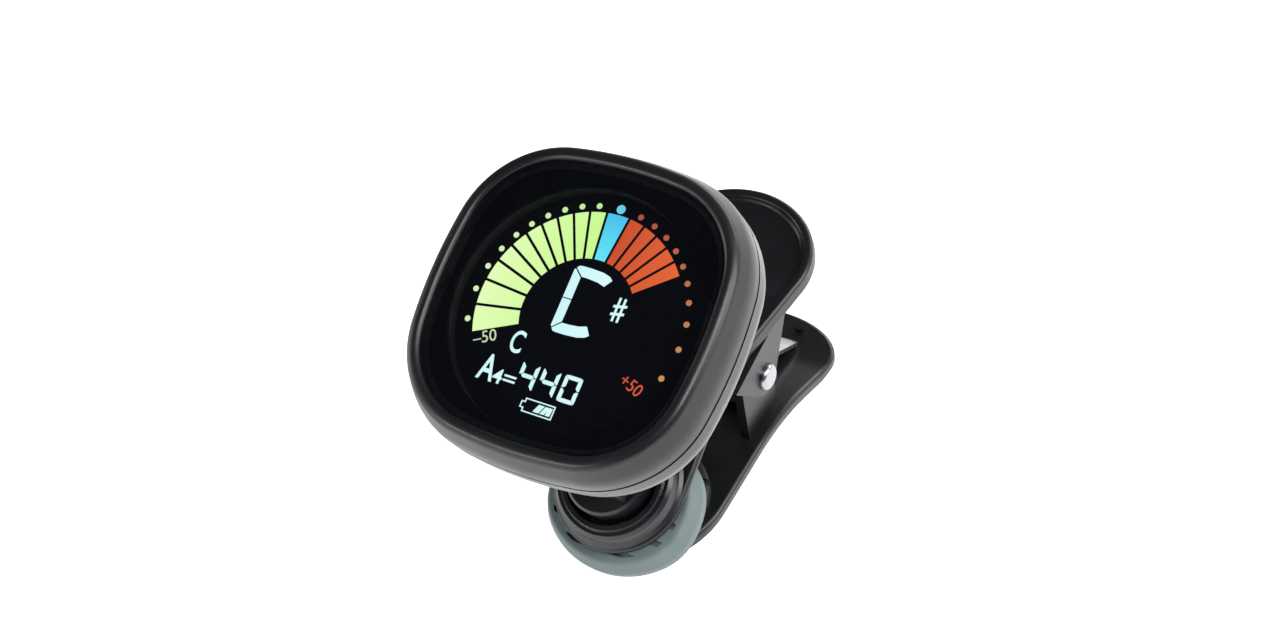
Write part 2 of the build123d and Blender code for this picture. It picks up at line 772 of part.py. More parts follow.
socket_z = board_back - socket_height_outside / 2
socket_mouth = Plane(
    origin=head_plane.from_local_coords(Vector(socket_sink - head_half_width, socket_y, socket_z)),
    x_dir=head_plane.y_dir,
    z_dir=(-1, 0, 0),
)
screw_seat = case_screw_sink + case_screw_head_height - case_depth


def button_hole(side):
    """The plane across a button's hole, on the head's top edge."""
    corner = Vector(side * button_offset, head_half_height, -button_depth_centre)
    return Plane(
        origin=head_plane.from_local_coords(corner), x_dir=(1, 0, 0), z_dir=head_plane.y_dir
    )


with BuildPart() as rear_case:
    with BuildSketch(head_level(-case_depth)):
        add(head_outline())
    extrude(amount=case_depth - shell_split)
    fillet(rear_case.faces().sort_by(head_axis)[0].edges(), rear_edge_radius)
    with BuildSketch(head_level(-shell_split)):
        add(head_outline())
        add(head_outline(seam_depth), mode=Mode.SUBTRACT)
    extrude(amount=-seam_width, mode=Mode.SUBTRACT)
    with BuildSketch(head_level(case_floor)):
        add(head_outline(shell_wall))
    extrude(amount=case_depth, mode=Mode.SUBTRACT)
    inner_corner = rear_case.edges(Select.LAST).group_by(head_axis)[0]
    fillet(inner_corner, rear_inner_radius)
    with BuildSketch(head_level(case_floor)):
        with Locations(*screw_spots):
            Circle(rear_boss_radius)
        add(head_outline(shell_wall), mode=Mode.INTERSECT)
    extrude(amount=-shell_split - case_floor)
    with BuildSketch(head_level(-case_depth)):
        with Locations(*screw_spots):
            Circle(case_screw_head_radius + screw_clearance)
    extrude(amount=screw_seat + case_depth, mode=Mode.SUBTRACT)
    with BuildSketch(head_level(-case_depth)):
        with Locations(*screw_spots):
            Circle(case_screw_radius + screw_clearance)
    extrude(amount=case_depth, mode=Mode.SUBTRACT)
    with BuildSketch(head_level(-case_depth)):
        with Locations(*bracket_spots):
            Circle(bracket_screw_radius)
    extrude(amount=bracket_screw_length - bracket_thickness, mode=Mode.SUBTRACT)
    with BuildSketch(socket_mouth):
        SlotOverall(
            socket_width + 2 * sliding_clearance, socket_height_outside + 2 * sliding_clearance
        )
    extrude(amount=socket_sink + shell_wall, both=True, mode=Mode.SUBTRACT)
    for side in (-1, 1):
        with BuildSketch(button_hole(side)):
            RectangleRounded(
                2 * (button_half_width + sliding_clearance),
                button_height + 2 * sliding_clearance,
                button_corner + sliding_clearance,
            )
        extrude(amount=2 * shell_wall, both=True, mode=Mode.SUBTRACT)
rear_case.part.label = "rear_case"

with BuildPart() as case_screws:
    with BuildSketch(head_level(screw_seat)):
        with Locations(*screw_spots):
            Circle(case_screw_head_radius)
    extrude(amount=-case_screw_head_height)
    with BuildSketch(head_level(screw_seat)):
        with Locations(*screw_spots):
            Circle(case_screw_radius)
    extrude(amount=case_screw_reach - shell_split - screw_seat)
    with BuildSketch(head_level(screw_seat - case_screw_head_height)):
        with Locations(*screw_spots):
            add(screw_cross(case_screw_head_radius))
    extrude(amount=screw_recess_depth, mode=Mode.SUBTRACT)
case_screws.part.label = "case_screws"

# ---- display ----------------------------------------------------------------------------------
with BuildPart() as display_lens:
    with BuildSketch(head_level(lens_back)):
        add(head_outline(bezel_width + lens_clearance))
    extrude(amount=lens_thickness)
display_lens.part.label = "display_lens"

with BuildPart() as display_mask:
    with BuildSketch(head_level(mask_back)):
        add(head_outline(bezel_width + lens_ledge + lens_clearance))
        with Locations((0, -window_below_centre)):
            Circle(window_radius, mode=Mode.SUBTRACT)
    extrude(amount=mask_thickness)
display_mask.part.label = "display_mask"


def lcd_outline(inset=0.0):
    """The glass of the display: a square with large corners, centred on the window."""
    with BuildSketch() as outline:
        with Locations((0, -window_below_centre)):
            RectangleRounded(
                2 * (lcd_half_size - inset), 2 * (lcd_half_size - inset), lcd_corner - inset
            )
    return outline.sketch


with BuildPart() as display_frame:
    with BuildSketch(head_level(-shell_split)):
        add(head_outline(shell_wall + frame_clearance))
        with Locations(*screw_spots):
            Circle(boss_radius + frame_clearance, mode=Mode.SUBTRACT)
    extrude(amount=cavity_height)
    with BuildSketch(head_level(-shell_split)):
        add(lcd_outline(-lcd_clearance))
    extrude(amount=shell_split, mode=Mode.SUBTRACT)
    with BuildSketch(head_level(0)):
        with Locations((0, -window_below_centre)):
            Circle(window_radius)
    extrude(amount=ledge_back, mode=Mode.SUBTRACT)
display_frame.part.label = "display_frame"

with BuildPart() as lcd_panel:
    with BuildSketch(head_level(-lcd_thickness)):
        add(lcd_outline())
    extrude(amount=lcd_thickness)
lcd_panel.part.label = "lcd_panel"

with BuildPart() as backlight:
    with BuildSketch(head_level(backlight_back)):
        add(lcd_outline(backlight_inset))
    extrude(amount=backlight_thickness)
backlight.part.label = "backlight"

# ---- electronics ------------------------------------------------------------------------------
flange_corner = button_offset + button_half_width + button_flange
wall_sagitta = head_bow_radius - sqrt((head_bow_radius - shell_wall) ** 2 - flange_corner**2)
wall_at_button = head_half_height - wall_sagitta
flange_back = wall_at_button - running_clearance - button_flange_thickness
switch_front = flange_back - button_travel - switch_gap
notch_width = 2 * (flange_corner + board_clearance)

with BuildPart() as main_board:
    with BuildSketch(head_level(board_back)):
        add(head_outline(shell_wall + board_clearance))
        with Locations(*screw_spots):
            Circle(rear_boss_radius + board_clearance, mode=Mode.SUBTRACT)
        with Locations((0, head_half_height)):
            Rectangle(notch_width, 2 * (head_half_height - switch_front), mode=Mode.SUBTRACT)
    extrude(amount=board_thickness)
main_board.part.label = "main_board"

with BuildPart() as board_chips:
    with BuildSketch(head_level(board_back)):
        with Locations(*chip_spots):
            Rectangle(chip_size[0], chip_size[1])
    extrude(amount=-chip_size[2])
board_chips.part.label = "board_chips"

with BuildPart() as button_switches:
    with BuildSketch(head_level(board_back)):
        with Locations(
            (-button_offset, switch_front - switch_size[1] / 2),
            (button_offset, switch_front - switch_size[1] / 2),
        ):
            Rectangle(switch_size[0], switch_size[1])
    extrude(amount=-switch_size[2])
button_switches.part.label = "button_switches"

with BuildPart() as battery_cell:
    with BuildSketch(head_level(case_floor)):
        with Locations(battery_centre):
            Rectangle(battery_size[0], battery_size[1])
    extrude(amount=battery_size[2])
    fillet(battery_cell.edges().filter_by(Axis.X), battery_edge)
battery_cell.part.label = "battery_cell"

with BuildPart() as piezo_sensor:
    with BuildSketch(head_level(case_floor)):
        with Locations((0, -sensor_below_centre)):
            Circle(sensor_radius)
    extrude(amount=sensor_thickness)
piezo_sensor.part.label = "piezo_sensor"

with BuildPart() as usb_socket:
    with BuildSketch(socket_mouth):
        SlotOverall(socket_width, socket_height_outside)
    extrude(amount=-socket_depth)
    with BuildSketch(socket_mouth):
        SlotOverall(socket_width - 2 * socket_wall, socket_height_outside - 2 * socket_wall)
    extrude(amount=socket_wall - socket_depth, mode=Mode.SUBTRACT)
    with BuildSketch(socket_mouth.offset(-socket_depth)):
        Rectangle(*socket_tongue)
    extrude(amount=socket_depth - socket_tongue_sink)
usb_socket.part.label = "usb_socket"


# ---- buttons ----------------------------------------------------------------------------------
def push_button(side):
    """A button with a flange that keeps it behind the head's top edge."""
    cap_reach = head_half_height + button_proud - flange_back
    flange_reach = cap_reach - button_proud
    with BuildPart() as button:
        with BuildSketch(head_level(-button_depth_centre - button_height / 2)):
            with Locations((side * button_offset, flange_back + cap_reach / 2)):
                Rectangle(2 * button_half_width, cap_reach)
            add(head_outline(-button_proud), mode=Mode.INTERSECT)
        extrude(amount=button_height)
        fillet(button.edges().filter_by(head_up), button_corner)
        fillet(button.faces().sort_by(head_up)[-1].edges(), button_edge)
        with BuildSketch(
            head_level(-button_depth_centre - button_height / 2 - button_flange)
        ):
            with Locations((side * button_offset, flange_back + flange_reach / 2)):
                Rectangle(2 * (button_half_width + button_flange), flange_reach)
            add(head_outline(shell_wall + running_clearance), mode=Mode.INTERSECT)
        extrude(amount=button_height + 2 * button_flange)
    return button


power_button = push_button(-1)
power_button.part.label = "power_button"
mode_button = push_button(1)
mode_button.part.label = "mode_button"

# ---- one file for each piece ------------------------------------------------------------------
os.makedirs("parts", exist_ok=True)
export_step(rear_arm.part, "parts/rear_arm.step")
export_step(rear_pad.part, "parts/rear_pad.step")
export_step(pivot_pin.part, "parts/pivot_pin.step")
export_step(pin_retainer.part, "parts/pin_retainer.step")
export_step(clip_spring.part, "parts/clip_spring.step")
export_step(front_arm.part, "parts/front_arm.step")
export_step(front_pad.part, "parts/front_pad.step")
export_step(socket_ring.part, "parts/socket_ring.step")
export_step(swivel_washer.part, "parts/swivel_washer.step")
export_step(swivel_hub.part, "parts/swivel_hub.step")
export_step(retaining_disc.part, "parts/retaining_disc.step")
export_step(swivel_screw.part, "parts/swivel_screw.step")
export_step(tilt_pin.part, "parts/tilt_pin.step")
export_step(head_bracket.part, "parts/head_bracket.step")
export_step(bracket_screws.part, "parts/bracket_screws.step")
export_step(front_bezel.part, "parts/front_bezel.step")
export_step(rear_case.part, "parts/rear_case.step")
export_step(case_screws.part, "parts/case_screws.step")
export_step(display_lens.part, "parts/display_lens.step")
export_step(display_mask.part, "parts/display_mask.step")
export_step(display_frame.part, "parts/display_frame.step")
export_step(lcd_panel.part, "parts/lcd_panel.step")
export_step(backlight.part, "parts/backlight.step")
export_step(main_board.part, "parts/main_board.step")
export_step(board_chips.part, "parts/board_chips.step")
export_step(button_switches.part, "parts/button_switches.step")
export_step(battery_cell.part, "parts/battery_cell.step")
export_step(piezo_sensor.part, "parts/piezo_sensor.step")
export_step(usb_socket.part, "parts/usb_socket.step")
export_step(power_button.part, "parts/power_button.step")
export_step(mode_button.part, "parts/mode_button.step")
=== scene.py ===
"""Looks for the clip-on tuner: materials, lit display, finely cut spring, light and camera."""

import json
from math import cos, degrees, radians, sin

import bmesh
import bpy
from mathutils import Matrix, Vector


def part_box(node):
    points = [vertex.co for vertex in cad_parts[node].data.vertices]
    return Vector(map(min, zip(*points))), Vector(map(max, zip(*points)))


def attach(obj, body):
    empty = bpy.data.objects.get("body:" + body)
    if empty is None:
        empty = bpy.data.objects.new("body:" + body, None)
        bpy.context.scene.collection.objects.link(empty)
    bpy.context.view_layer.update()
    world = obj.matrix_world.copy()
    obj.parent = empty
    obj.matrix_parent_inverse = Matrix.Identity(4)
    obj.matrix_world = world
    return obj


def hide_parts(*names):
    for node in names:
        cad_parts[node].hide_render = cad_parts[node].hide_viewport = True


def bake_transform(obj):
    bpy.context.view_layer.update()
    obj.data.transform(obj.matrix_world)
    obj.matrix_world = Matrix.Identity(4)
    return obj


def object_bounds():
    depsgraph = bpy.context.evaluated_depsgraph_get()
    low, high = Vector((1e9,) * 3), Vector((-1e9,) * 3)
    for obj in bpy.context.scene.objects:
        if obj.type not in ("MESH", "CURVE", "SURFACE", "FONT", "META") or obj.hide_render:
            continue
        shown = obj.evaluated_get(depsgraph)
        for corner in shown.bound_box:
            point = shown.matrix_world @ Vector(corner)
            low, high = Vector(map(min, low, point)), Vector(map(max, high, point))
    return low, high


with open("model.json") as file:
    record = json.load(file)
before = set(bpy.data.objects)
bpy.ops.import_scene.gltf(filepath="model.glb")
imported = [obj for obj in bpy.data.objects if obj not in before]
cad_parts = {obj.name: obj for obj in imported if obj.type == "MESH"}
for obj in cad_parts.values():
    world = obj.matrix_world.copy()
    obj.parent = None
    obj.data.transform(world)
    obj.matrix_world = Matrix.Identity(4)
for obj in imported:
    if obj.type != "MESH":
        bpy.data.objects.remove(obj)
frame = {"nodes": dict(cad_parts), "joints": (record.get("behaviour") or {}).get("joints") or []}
cad_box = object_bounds()
nodes = frame["nodes"]
joints = {joint["name"]: joint for joint in frame["joints"]}
MM = 0.001
LENS_TINT = 0.3               # the share of light that the display's lens holds back

# ---- the head's own axes, from the model ------------------------------------------------------
RIGHT = Vector((1, 0, 0))
UP = -Vector(joints["power_press"]["axis"]).normalized()
OUT = RIGHT.cross(UP)
LCD_THICKNESS = 1.4
lcd_low, lcd_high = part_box("lcd_panel")
DISPLAY = (lcd_low + lcd_high) / 2 + OUT * (LCD_THICKNESS / 2 * MM)


def on_display(x, y, above=0.0):
    """A point of the display plane, in mm right of and above the scale's centre."""
    return DISPLAY + (RIGHT * x + UP * y + OUT * above) * MM


# ---- materials --------------------------------------------------------------------------------
def new_material(name, colour, roughness, metallic=0.0, **sockets):
    """A material with its Principled shader, and the shader's constant values."""
    material = bpy.data.materials.new(name)
    material.use_nodes = True
    shader = material.node_tree.nodes["Principled BSDF"]
    shader.inputs["Base Color"].default_value = (*colour, 1)
    shader.inputs["Roughness"].default_value = roughness
    shader.inputs["Metallic"].default_value = metallic
    for socket, value in sockets.items():
        shader.inputs[socket.replace("_", " ")].default_value = value
    return material, shader


def add_node(material, kind, **settings):
    """A shader node, with its settings and socket values."""
    node = material.node_tree.nodes.new(kind)
    for key, value in settings.items():
        if key in node.inputs:
            node.inputs[key].default_value = value
        else:
            setattr(node, key, value)
    return node


def object_point(material, stretch=(1, 1, 1)):
    """Object coordinates, stretched along each axis."""
    coordinates = add_node(material, "ShaderNodeTexCoord")
    mapping = add_node(material, "ShaderNodeMapping", Scale=stretch)
    material.node_tree.links.new(coordinates.outputs["Object"], mapping.inputs["Vector"])
    return mapping.outputs["Vector"]


def noise(material, scale, detail=2.0, stretch=(1, 1, 1)):
    """Noise with this many features to the metre."""
    texture = add_node(material, "ShaderNodeTexNoise", Scale=scale, Detail=detail)
    point = object_point(material, stretch)
    material.node_tree.links.new(point, texture.inputs["Vector"])
    return texture.outputs["Fac"]


def ramp(material, factor, low, high, low_at=0.3, high_at=0.7):
    """A colour ramp between two colours or greys."""
    node = add_node(material, "ShaderNodeValToRGB")
    for element, place, value in zip(node.color_ramp.elements, (low_at, high_at), (low, high)):
        element.position = place
        element.color = (*value, 1) if isinstance(value, tuple) else (value, value, value, 1)
    material.node_tree.links.new(factor, node.inputs["Fac"])
    return node.outputs["Color"]


def bump(material, shader, heights, strength=1.0):
    """Chained bumps: each height is (factor, depth in metres)."""
    links = material.node_tree.links
    previous = None
    for factor, depth in heights:
        node = add_node(material, "ShaderNodeBump", Strength=strength, Distance=depth)
        links.new(factor, node.inputs["Height"])
        if previous:
            links.new(previous, node.inputs["Normal"])
        previous = node.outputs["Normal"]
    links.new(previous, shader.inputs["Normal"])


def moulded(name, colour, roughness, grain, depth, spread=0.06, lift=1.25, **sockets):
    """Moulded plastic: a fine spark-eroded grain, with slow changes in colour and gloss."""
    material, shader = new_material(name, colour, roughness, **sockets)
    links = material.node_tree.links
    slow = noise(material, 90.0, 4.0)
    pale = tuple(channel * lift for channel in colour)
    links.new(ramp(material, slow, colour, pale), shader.inputs["Base Color"])
    gloss = ramp(material, slow, roughness - spread, roughness + spread)
    links.new(gloss, shader.inputs["Roughness"])
    if depth:
        fine = noise(material, grain, 3.0)
        bump(material, shader, [(slow, 4 * depth), (fine, depth)])
    return material


def rubber(name, colour):
    """Soft grip rubber, with a dusty bloom."""
    material, shader = new_material(name, colour, 0.62, Specular_IOR_Level=0.4)
    links = material.node_tree.links
    bloom = noise(material, 260.0, 6.0)
    fine = noise(material, 7000.0, 2.0)
    pale = tuple(min(1.0, channel * 1.22 + 0.004) for channel in colour)
    links.new(ramp(material, bloom, colour, pale, 0.35, 0.75), shader.inputs["Base Color"])
    links.new(ramp(material, bloom, 0.52, 0.72), shader.inputs["Roughness"])
    bump(material, shader, [(bloom, 0.00004), (fine, 0.000012)])
    return material


def metal(name, colour, roughness, stretch, scale=1200.0, depth=0.000004):
    """Metal with fine lines drawn along one axis."""
    material, shader = new_material(name, colour, roughness, metallic=1.0)
    links = material.node_tree.links
    lines = noise(material, scale, 5.0, stretch)
    links.new(ramp(material, lines, roughness * 0.75, roughness * 1.35), shader.inputs["Roughness"])
    dark = tuple(channel * 0.82 for channel in colour)
    links.new(ramp(material, lines, dark, colour), shader.inputs["Base Color"])
    bump(material, shader, [(lines, depth)])
    return material


def lit(name, near, far, strength, axis=0):
    """A lit sign, whose colour changes along one axis of its box."""
    material, shader = new_material(name, (0.0, 0.0, 0.0), 0.4, Emission_Strength=strength)
    links = material.node_tree.links
    coordinates = add_node(material, "ShaderNodeTexCoord")
    parts = add_node(material, "ShaderNodeSeparateXYZ")
    links.new(coordinates.outputs["Generated"], parts.inputs["Vector"])
    colour = ramp(material, parts.outputs[axis], near, far, 0.0, 1.0)
    links.new(colour, shader.inputs["Emission Color"])
    return material


def lens_glass():
    """The display's dark clear lens, with a faint smear of handling in its gloss."""
    material, shader = new_material(
        "lens_glass", (0.0025, 0.003, 0.005), 0.04, Alpha=LENS_TINT, Specular_IOR_Level=0.35,
    )
    smear = noise(material, 60.0, 5.0)
    gloss = ramp(material, smear, 0.03, 0.09, 0.45, 0.8)
    material.node_tree.links.new(gloss, shader.inputs["Roughness"])
    return material


def circuit_board():
    """Green solder resist, mottled."""
    material, shader = new_material("board_resist", (0.01, 0.10, 0.04), 0.3)
    slow = noise(material, 700.0, 3.0)
    colour = ramp(material, slow, (0.01, 0.10, 0.04), (0.02, 0.16, 0.06))
    material.node_tree.links.new(colour, shader.inputs["Base Color"])
    return material


soft_black = moulded("soft_touch_black", (0.0055, 0.0060, 0.0072), 0.36, 5200.0, 0.000005,
                     Specular_IOR_Level=0.42)
case_black = moulded("case_black", (0.0060, 0.0065, 0.0078), 0.30, 5200.0, 0.000004,
                     Specular_IOR_Level=0.5)
arm_black = moulded("arm_black", (0.0050, 0.0055, 0.0066), 0.34, 4200.0, 0.000005,
                    Specular_IOR_Level=0.40)
swivel_black = moulded("swivel_black", (0.0065, 0.0072, 0.0088), 0.28, 5000.0, 0.000004,
                       Specular_IOR_Level=0.5)
button_black = moulded("button_black", (0.010, 0.0105, 0.012), 0.38, 5600.0, 0.000004)
inner_black = moulded("inner_black", (0.004, 0.004, 0.0045), 0.55, 4000.0, 0.000004)
mask_print = moulded("mask_print", (0.0018, 0.0020, 0.0028), 0.3, 6000.0, 0.0,
                     Specular_IOR_Level=0.1)
lcd_black = moulded("lcd_black", (0.0026, 0.0034, 0.0058), 0.3, 6000.0, 0.0,
                    Specular_IOR_Level=0.1)
white_plastic = moulded("white_plastic", (0.62, 0.63, 0.62), 0.4, 4000.0, 0.000003, lift=1.1)
grey_rubber = rubber("grey_rubber", (0.105, 0.135, 0.135))
black_rubber = rubber("black_rubber", (0.010, 0.0105, 0.011))
polished_steel = metal("polished_steel", (0.42, 0.43, 0.45), 0.30, (1, 1, 1), 500.0)
spring_steel = metal("spring_steel", (0.52, 0.51, 0.48), 0.30, (0.12, 1, 1), 2600.0)
dark_steel = metal("dark_steel", (0.30, 0.31, 0.33), 0.32, (1, 1, 1), 900.0)
foil = metal("battery_foil", (0.70, 0.71, 0.73), 0.35, (0.3, 1, 1), 700.0)
brass = metal("sensor_brass", (0.80, 0.60, 0.26), 0.30, (1, 0.3, 1), 900.0)

finishes = {
    "front_bezel": soft_black,
    "rear_case": case_black,
    "rear_arm": arm_black,
    "front_arm": arm_black,
    "rear_pad": black_rubber,
    "front_pad": grey_rubber,
    "socket_ring": swivel_black,
    "swivel_hub": swivel_black,
    "head_bracket": swivel_black,
    "swivel_washer": white_plastic,
    "retaining_disc": spring_steel,
    "pivot_pin": polished_steel,
    "pin_retainer": polished_steel,
    "tilt_pin": dark_steel,
    "swivel_screw": dark_steel,
    "bracket_screws": dark_steel,
    "case_screws": dark_steel,
    "display_lens": lens_glass(),
    "display_mask": mask_print,
    "display_frame": inner_black,
    "lcd_panel": lcd_black,
    "backlight": white_plastic,
    "main_board": circuit_board(),
    "board_chips": inner_black,
    "button_switches": inner_black,
    "battery_cell": foil,
    "piezo_sensor": brass,
    "usb_socket": spring_steel,
    "power_button": button_black,
    "mode_button": button_black,
}
for name, material in finishes.items():
    nodes[name].data.materials.clear()
    nodes[name].data.materials.append(material)

# ---- the lit display --------------------------------------------------------------------------
SCALE_RADIUS = 16.3           # of the circle of dots, in mm
SEGMENT_INNER = 0.52 * SCALE_RADIUS
SEGMENT_OUTER = 0.945 * SCALE_RADIUS
SEGMENT_GAP = 0.42
STEPS = 10                    # dots each side of the middle one
MIDDLE_EDGE = 6.7             # degrees to each side of the middle segment
LIT_RIGHT = 5
DOT_RADIUS = 0.43
MIDDLE_DOT_RADIUS = 0.66
SIGN_THICKNESS = 0.05


def dot_angle(step):
    """Degrees from straight up to a dot; the steps widen towards the ends."""
    return 11.8 + 9.1 * (step - 1) + 13.3 * ((step - 1) / 9) ** 6 if step else 0.0


def edge_angle(step):
    """Degrees to the line between the segments of two neighbouring dots."""
    if step == 0:
        return MIDDLE_EDGE
    if step == STEPS:
        return dot_angle(step) + (dot_angle(step) - dot_angle(step - 1)) / 2
    return (dot_angle(step) + dot_angle(step + 1)) / 2


def ring_point(radius, angle, centre=(0, 0)):
    """A point on a circle, with its angle in degrees clockwise from straight up."""
    return centre[0] + radius * sin(radians(angle)), centre[1] + radius * cos(radians(angle))


def sector(start, end):
    """One lit segment, with even gaps along its straight sides."""
    outline = []
    for radius, count, order in ((SEGMENT_INNER, 8, 1), (SEGMENT_OUTER, 12, -1)):
        trim = degrees(SEGMENT_GAP / 2 / radius)
        first, last = start + trim, end - trim
        row = [ring_point(radius, first + (last - first) * i / count) for i in range(count + 1)]
        outline += row[::order]
    return outline


def disc(centre, radius, count=28):
    """A round dot."""
    return [ring_point(radius, 360 * i / count, centre) for i in range(count)]


def plates(name, outlines, material):
    """Thin lit plates on the display, one for each outline, as one piece."""
    mesh = bpy.data.meshes.new(name)
    build = bmesh.new()
    for outline in outlines:
        low = [build.verts.new(on_display(x, y, 0.0)) for x, y in outline]
        high = [build.verts.new(on_display(x, y, SIGN_THICKNESS)) for x, y in outline]
        build.faces.new(high)
        build.faces.new(low[::-1])
        for i, corner in enumerate(low):
            after = (i + 1) % len(low)
            build.faces.new((corner, low[after], high[after], high[i]))
    bmesh.ops.recalc_face_normals(build, faces=build.faces)
    bmesh.ops.triangulate(build, faces=build.faces, ngon_method="EAR_CLIP")
    build.to_mesh(mesh)
    build.free()
    return finish_sign(bpy.data.objects.new(name, mesh), material)


def finish_sign(piece, material):
    """Links a sign, gives it its material and sets it on the head."""
    bpy.context.scene.collection.objects.link(piece)
    piece.data.materials.clear()
    piece.data.materials.append(material)
    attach(piece, "head")
    return piece


def moved(outline, centre, turn=0.0):
    """An outline turned anticlockwise by turn degrees and moved to centre."""
    turned = []
    for x, y in outline:
        turned.append((
            centre[0] + x * cos(radians(turn)) - y * sin(radians(turn)),
            centre[1] + x * sin(radians(turn)) + y * cos(radians(turn)),
        ))
    return turned


def segments(shown, width, height, stroke, gap):
    """The lit bars of a seven-segment sign, centred on the origin, as outlines."""
    w, h, t, g = width / 2, height / 2, stroke, gap / 2
    bars = {
        "top": [(-w + g, h - g), (-w + t, h), (w - t, h), (w - g, h - g), (w - t, h - t),
                (-w + t, h - t)],
        "middle": [(-w + t / 2 + g, 0), (-w + t + g, t / 2), (w - t - g, t / 2),
                   (w - t / 2 - g, 0), (w - t - g, -t / 2), (-w + t + g, -t / 2)],
        "left_high": [(-w, h - t / 2), (-w + g, h - 2 * g), (-w + t, h - t - g),
                      (-w + t, t / 2 + g), (-w + t / 2, g), (-w, g)],
    }
    bars["bottom"] = [(x, -y) for x, y in bars["top"]]
    bars["left_low"] = [(x, -y) for x, y in bars["left_high"]]
    bars["right_high"] = [(-x, y) for x, y in bars["left_high"]]
    bars["right_low"] = [(-x, -y) for x, y in bars["left_high"]]
    return [bars[name] for name in shown]


NOTE_CENTRE = (0.03, 2.05)


def big_note():
    """The large C: two straight bars, and two bowed ones that taper to their right ends."""
    half_w, half_h, stroke, gap = 3.05, 5.0, 1.38, 0.08
    upper = [
        (-half_w + 0.25, half_h - 0.45), (-half_w + 0.55, half_h - 0.08),
        (-half_w + 1.1, half_h), (-0.6, half_h), (half_w * 0.45, half_h - 0.12),
        (half_w - 0.55, half_h - 0.42), (half_w, half_h - 0.85),
        (half_w - 0.85, half_h - 0.62 - stroke), (half_w * 0.35, half_h - 0.28 - stroke),
        (-0.5, half_h - 0.14 - stroke), (-half_w + stroke + 0.1, half_h - 0.12 - stroke),
    ]
    side = [
        (-half_w, half_h - 0.75), (-half_w + 0.14, half_h - 0.6),
        (-half_w + stroke - 0.02, half_h - stroke - 0.3),
        (-half_w + stroke, gap), (-half_w, gap),
    ]
    lower, low_side = ([(x, -y) for x, y in bar] for bar in (upper, side))
    return [moved(bar, NOTE_CENTRE) for bar in (upper, side, lower, low_side)]


def sharp_sign():
    """Two uprights crossed by two slanting bars."""
    bars = []
    for x in (-0.40, 0.40):
        bars.append([(x - 0.17, -1.75), (x + 0.17, -1.75), (x + 0.17, 1.75), (x - 0.17, 1.75)])
    for y in (-0.72, 0.42):
        bars.append([(-1.0, y - 0.26), (1.0, y + 0.1), (1.0, y + 0.48), (-1.0, y + 0.12)])
    return [moved(bar, (5.75, 2.5)) for bar in bars]


def battery_sign():
    """A cell with its nub at the left, and three slanting charge bars."""
    left, right, low, high, line = -2.05, 2.72, -14.8, -12.8, 0.17
    bars = [
        [(left, high - line), (right, high - line), (right, high), (left, high)],
        [(left, low), (right, low), (right, low + line), (left, low + line)],
        [(right - line, low), (right, low), (right, high), (right - line, high)],
    ]
    nub_low, nub_high, nub = low + 0.5, high - 0.5, 0.5
    for low_end, high_end in ((low, nub_low), (nub_high, high)):
        bars.append([(left, low_end), (left + line, low_end), (left + line, high_end),
                     (left, high_end)])
    bars.append([(left - nub, nub_low), (left - nub + line, nub_low),
                 (left - nub + line, nub_high), (left - nub, nub_high)])
    for y in (nub_low, nub_high - line):
        bars.append([(left - nub, y), (left + line, y), (left + line, y + line),
                     (left - nub, y + line)])
    foot, head = low + 0.42, high - 0.42
    for start, end in ((-0.35, 0.55), (0.75, 1.4), (1.6, 2.3)):
        slant = 0.55 if end < 2.0 else 0.25
        bars.append([(start, foot), (end, foot), (min(end + slant, 2.4), head),
                     (start + slant, head)])
    return bars


def word(name, text, centre, size, turn, material, weight=0.0):
    """Generic lettering on the display, fitted to a box size mm wide and high."""
    curve = bpy.data.curves.new(name, "FONT")
    curve.body = text
    curve.offset = weight
    curve.resolution_u = 6
    holder = bpy.data.objects.new(name + "_curve", curve)
    bpy.context.scene.collection.objects.link(holder)
    bpy.context.view_layer.update()
    shape = bpy.data.meshes.new_from_object(holder)
    bpy.data.objects.remove(holder)
    xs = [v.co.x for v in shape.vertices]
    ys = [v.co.y for v in shape.vertices]
    middle = ((min(xs) + max(xs)) / 2, (min(ys) + max(ys)) / 2)
    fit = (size[0] / (max(xs) - min(xs)), size[1] / (max(ys) - min(ys)))
    build = bmesh.new()
    build.from_mesh(shape)
    bmesh.ops.remove_doubles(build, verts=build.verts, dist=0.0001)
    for vertex in build.verts:
        flat = ((vertex.co.x - middle[0]) * fit[0], (vertex.co.y - middle[1]) * fit[1])
        vertex.co = on_display(*moved([flat], centre, turn)[0], SIGN_THICKNESS)
    bmesh.ops.recalc_face_normals(build, faces=build.faces)
    solid = bmesh.ops.extrude_face_region(build, geom=build.faces[:])
    for vertex in (v for v in solid["geom"] if isinstance(v, bmesh.types.BMVert)):
        vertex.co -= OUT * SIGN_THICKNESS * MM
    bmesh.ops.recalc_face_normals(build, faces=build.faces)
    mesh = bpy.data.meshes.new(name)
    build.to_mesh(mesh)
    build.free()
    bpy.data.meshes.remove(shape)
    return finish_sign(bpy.data.objects.new(name, mesh), material)


SHINE = 1.4 / (1.0 - LENS_TINT)   # makes up for the lens
green = lit("sign_green_lit", (0.78, 1.0, 0.48), (0.58, 0.97, 0.28), SHINE)
pale_green = lit("dots_green_lit", (0.72, 0.92, 0.52), (0.56, 0.88, 0.34), 0.95 * SHINE)
blue = lit("sign_blue_lit", (0.13, 0.80, 0.95), (0.07, 0.52, 0.86), SHINE, axis=1)
blue_dot = lit("dot_blue_lit", (0.16, 0.70, 0.90), (0.14, 0.62, 0.86), 0.95 * SHINE)
red = lit("sign_red_lit", (0.60, 0.080, 0.026), (0.80, 0.135, 0.036), SHINE)
red_dots = lit("dots_red_lit", (0.62, 0.30, 0.10), (0.46, 0.085, 0.065), 0.95 * SHINE, axis=1)
red_text = lit("text_red_lit", (0.62, 0.085, 0.045), (0.70, 0.11, 0.055), 0.95 * SHINE)
